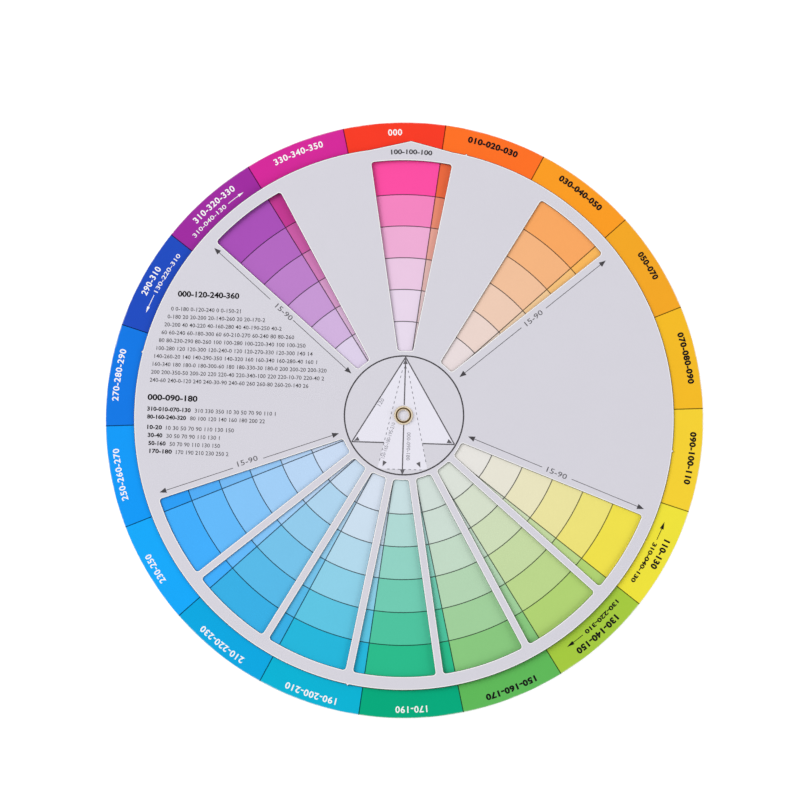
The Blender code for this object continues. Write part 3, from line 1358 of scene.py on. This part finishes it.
@dataclass
class Dial:
    """One die-cut dial with its print."""

    side: Side
    cut: DialCut = DialCut()
    bow: Bow = Bow()
    turn: float = 1.7
    play: Point = (-0.12, 0.08)  # how far the card lies off the eyelet's middle
    print_shift: Point = (0.2, 0.05)

    def build(self) -> None:
        """Makes every piece of the dial."""
        front = self.side is Side.FRONT
        name = f"{self.side.value}_dial"
        body = Body.FRONT_DIAL if front else Body.REAR_DIAL
        slot = Slot.FRONT_DIAL if front else Slot.REAR_DIAL
        low, high = (corner.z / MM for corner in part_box(name))
        back, level = (low, high) if front else (high, low)
        shape = self.cut.blank(high - low)
        self.bow.cut(shape)
        self.bow.bend(shape)
        card = Face(Seat(body, slot, name), self.side, back, self.turn, self.play)
        bmesh.ops.transform(shape, matrix=card.matrix(), verts=list(shape.verts))
        looks = Look.CUT_BOARD, Look.COOL_GREY_PRINT, Look.GREY_CORE_AND_PAINTED_SHADE
        card.seat.take(f"{name}_card", shape, *looks)

        face = Face(Seat(body, slot), self.side, level, self.turn, self.print_shift, self.bow)
        marks = DialPrint(face)
        marks.figure()
        marks.arrows_and_captions()
        NumberKey(face).build()


# The brass


@dataclass
class Eyelet:
    """The pressed eyelet and the washer under its rolled end."""

    bore: float = 2.1
    wall: float = 0.3
    flange: float = 1.65
    crown: Pair = (0.45, 1.45)  # how far the flange's crest lies from the bore, and its round beyond
    rear_roll: float = 1.2
    rear_crown: Pair = (0.45, 0.6)
    droop: float = 35.0  # how far a roll is round before it runs straight to its rim
    washer_play: float = 0.2  # between the washer and the barrel
    washer_rim_break: float = 0.05
    steps: int = 96
    roll_steps: int = 14

    def build(self) -> None:
        """Makes the eyelet and the washer."""
        low, high = (corner.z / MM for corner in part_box("eyelet"))
        level, rear_level = high - self.flange / 2, low + self.rear_roll / 2
        outside, inside = self._roll(self.flange, self.crown, level, 1)
        rear_outside, rear_inside = self._roll(self.rear_roll, self.rear_crown, rear_level, -1)
        chain = inside[::-1] + rear_inside + rear_outside[::-1] + outside
        self._seat("eyelet", Slot.EYELET, spun(chain, self.steps), Look.BRIGHT_BRASS)

        low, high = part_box("washer")
        inner, outer = self.bore + self.wall + self.washer_play, high.x / MM
        bottom, top = low.z / MM, high.z / MM
        shape = spun([(inner, bottom), (outer, bottom), (outer, top), (inner, top)], self.steps)
        break_rims(shape, self.washer_rim_break)
        self._seat("washer", Slot.WASHER, shape, Look.SATIN_BRASS)

    def _roll(self, width: float, crown: Pair, level: float, up: int) -> list[list[Point]]:
        """Gives the section of a rolled rim, steep towards the bore and gentle outwards.

        Args:
            width: how far it reaches from the bore.
            crown: how far its crest lies from the bore, and the radius of its round beyond that.
            level: the height that it springs from.
            up: 1 where it stands up, or -1.

        Returns:
            The outer and the inner line, each from the bore outwards.
        """
        section = []
        for inset in (0.0, self.wall):
            crest, round_off = (reach - inset for reach in crown)
            rise = width / 2 - inset
            line = [(x * crest, y * rise) for x, y in arc(1.0, -90, 0, self.roll_steps)]
            line += arc(round_off, 0, self.droop, self.roll_steps, (0.0, rise - round_off))[1:]
            line.append((width - crown[0] - inset, 0.0))
            section.append([(self.bore + crown[0] + x, level + up * y) for x, y in line])
        return section

    @staticmethod
    def _seat(node: str, slot: Slot, shape: Shape, look: Look) -> None:
        """Puts a turned piece in its node's place."""
        bmesh.ops.scale(shape, vec=(MM, MM, MM), verts=list(shape.verts))
        Seat(Body.BASE, slot, node).take(f"{node}_brass", shape, look)


# The studio


@dataclass(frozen=True)
class Lamp:
    """A square lamp that shines on the wheel."""

    name: str
    power: float  # in watts
    place: tuple[float, float, float]
    size: float

    def hang(self) -> None:
        """Puts the lamp in the scene."""
        light = bpy.data.lights.new(self.name, "AREA")
        light.energy, light.size = self.power, self.size * MM
        lamp = placed(self.name, light)
        lamp.location = Vector(self.place) * MM
        lamp.rotation_euler = (-lamp.location).to_track_quat("-Z", "Y").to_euler()
        lamp.visible_glossy = False  # the brass mirrors the sky alone


@dataclass
class Studio:
    """A white table under two broad lamps and a plain sky, seen from nearly overhead."""

    lens: float = 73.8
    sensor: float = 36.0
    camera_place: tuple[float, float, float] = (10.0, -51.57, 645.0)
    camera_tilt: Pair = (5.128, 1.014)
    floor_size: float = 9000.0
    clip: Pair = (0.01, 50.0)
    sky: float = 0.47
    overhead: Colour = (0.1, 0.06, 0.025)  # what gloss mirrors from above, round the camera
    overhead_edge: Pair = (0.64, 0.76)  # how steeply up that starts and is full
    floor_light: float = 0.8  # the share of the light that the floor sends back to the wheel
    floor_shadowed: float = 0.28  # and to the camera
    floor_glow: float = 0.87  # its own light to the camera, which keeps it white
    lamps: tuple[Lamp, ...] = (
        Lamp("key", 66.0, (-2140.0, 920.0, 1900.0), 2000.0),
        Lamp("fill", 20.0, (2190.0, -350.0, 950.0), 1000.0),
    )

    def build(self) -> None:
        """Sets up the camera, the lamps, the sky and the floor."""
        scene = bpy.context.scene
        scene.view_settings.view_transform = "Standard"
        camera = bpy.data.cameras.new("camera")
        camera.lens, camera.sensor_width = self.lens, self.sensor
        camera.clip_start, camera.clip_end = self.clip
        eye = placed("camera", camera)
        eye.location = Vector(self.camera_place) * MM
        eye.rotation_euler = (*map(math.radians, self.camera_tilt), 0.0)
        scene.camera = eye

        for lamp in self.lamps:
            lamp.hang()
        self._sky()
        self._floor()

    def _sky(self) -> None:
        """Makes a plain sky: white to the camera, and to gloss white round a brown place overhead."""
        world = bpy.data.worlds.new("studio")
        bpy.context.scene.world = world
        graph = Graph(world)
        direction = graph.value("ShaderNodeTexCoord", output="Generated")
        height = graph.value("ShaderNodeSeparateXYZ", {"Vector": direction}, "Z")
        camera, glossy = graph.rays()
        above = glossy * height.rise(*self.overhead_edge)
        seen = camera + glossy
        inputs = {
            "Color": graph.mix(above, (1.0, 1.0, 1.0), self.overhead),
            "Strength": seen + (1 - seen) * self.sky,
        }
        graph.close(graph.node("ShaderNodeBackground", inputs), "ShaderNodeOutputWorld")

    def _floor(self) -> None:
        """Makes the white floor, which keeps a faint shadow of the wheel."""
        shape = bmesh.new()
        bmesh.ops.create_grid(shape, x_segments=1, y_segments=1, size=self.floor_size / 2 * MM)
        mesh = meshed("floor", shape)
        made = bpy.data.materials.new("white_floor")
        graph = Graph(made)
        plain, shadowed = (
            graph.value("ShaderNodeBsdfDiffuse", {"Color": (grey, grey, grey, 1.0)})
            for grey in (self.floor_light, self.floor_shadowed)
        )
        glow = graph.value("ShaderNodeEmission", {"Color": (1, 1, 1, 1), "Strength": self.floor_glow})
        lit = graph.value("ShaderNodeAddShader", {0: shadowed, 1: glow})
        camera, glossy = graph.rays()
        seen = (camera + glossy).clamped()
        graph.close(graph.node("ShaderNodeMixShader", {0: seen, 1: plain, 2: lit}))
        mesh.materials.append(made)
        floor = placed("floor", mesh)


def main() -> None:
    """Builds the wheel and its studio."""
    logging.basicConfig(level=logging.INFO, format="%(message)s")
    for part in (Studio(), BaseDisc(), Dial(Side.FRONT), Dial(Side.REAR), Eyelet()):
        part.build()


if __name__ == "__main__":
    main()
